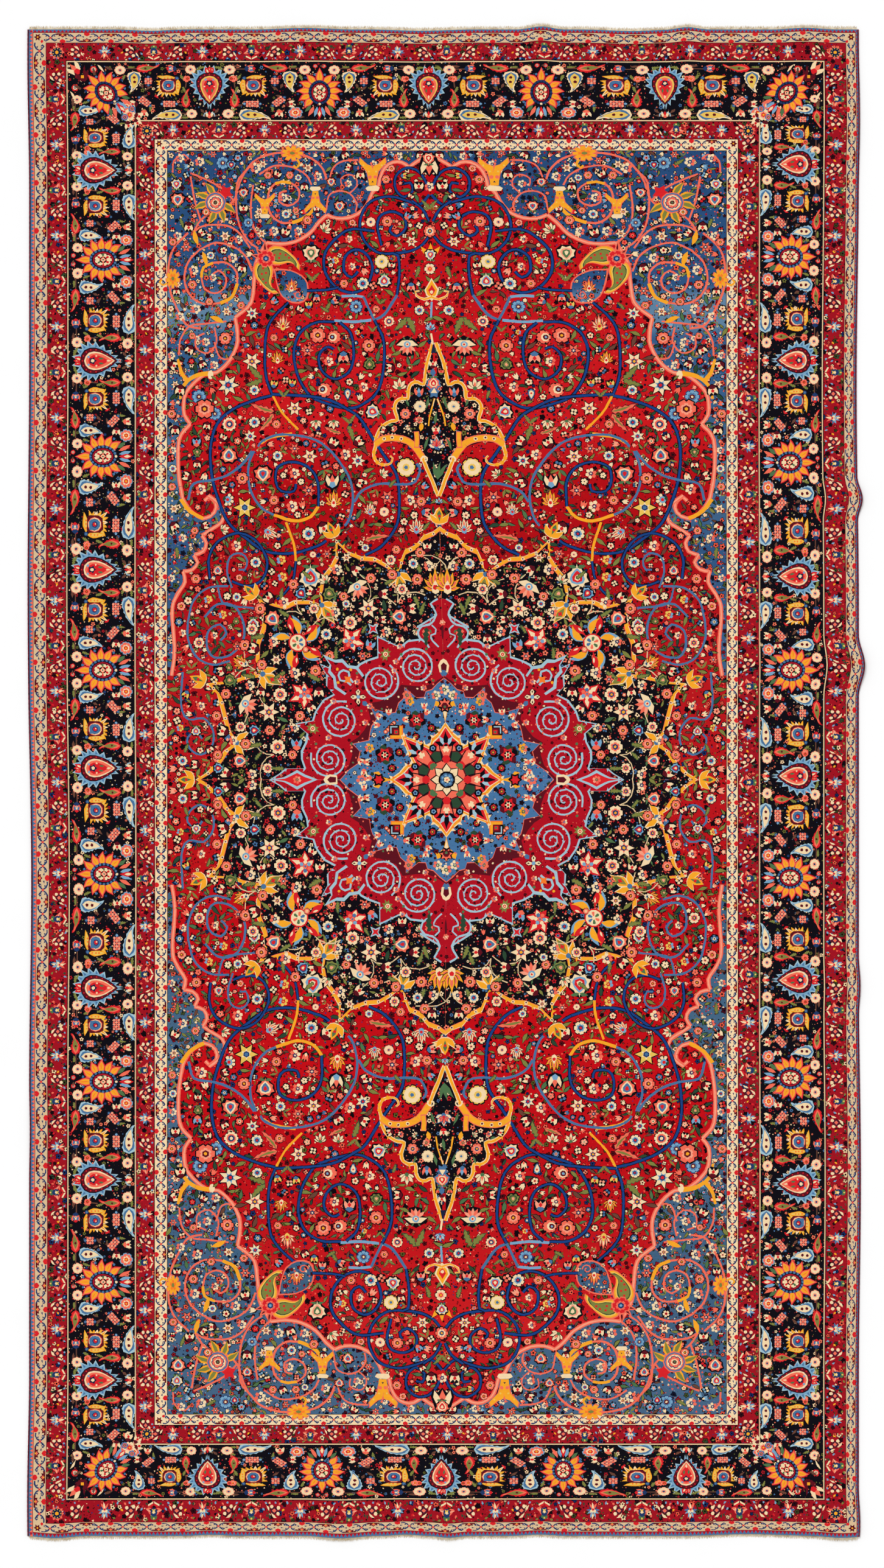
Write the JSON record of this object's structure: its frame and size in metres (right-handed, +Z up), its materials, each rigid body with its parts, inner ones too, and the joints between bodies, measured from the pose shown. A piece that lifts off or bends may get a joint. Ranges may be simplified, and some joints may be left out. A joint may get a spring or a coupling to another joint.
{
  "type": "persian rug",
  "caption": "Long rectangular hand-knotted pile rug lying flat, with overcast side cords and short end fringes.",
  "frame": {"origin": "centre of the rug's outline, on the floor under it", "axes": "+X across the rug to the picture's right, +Y along the rug to the picture's top, +Z up out of the pile"},
  "size_m": [3.7149, 6.7389, 0.0222],
  "materials": {
    "wool_pile": "cut wool pile, low and dense, red ground with a many-coloured knotted design",
    "overcast_wool": "wool yarn wrapped closely round the edge cords",
    "warp_cotton": "undyed cotton, flat-woven at the end and frayed beyond it"
  },
  "bodies": {
    "root": {"pile": "wool_pile", "side_cord_left": "overcast_wool", "side_cord_right": "overcast_wool", "end_fringe_top": "warp_cotton", "end_fringe_bottom": "warp_cotton"}
  },
  "joints": []
}
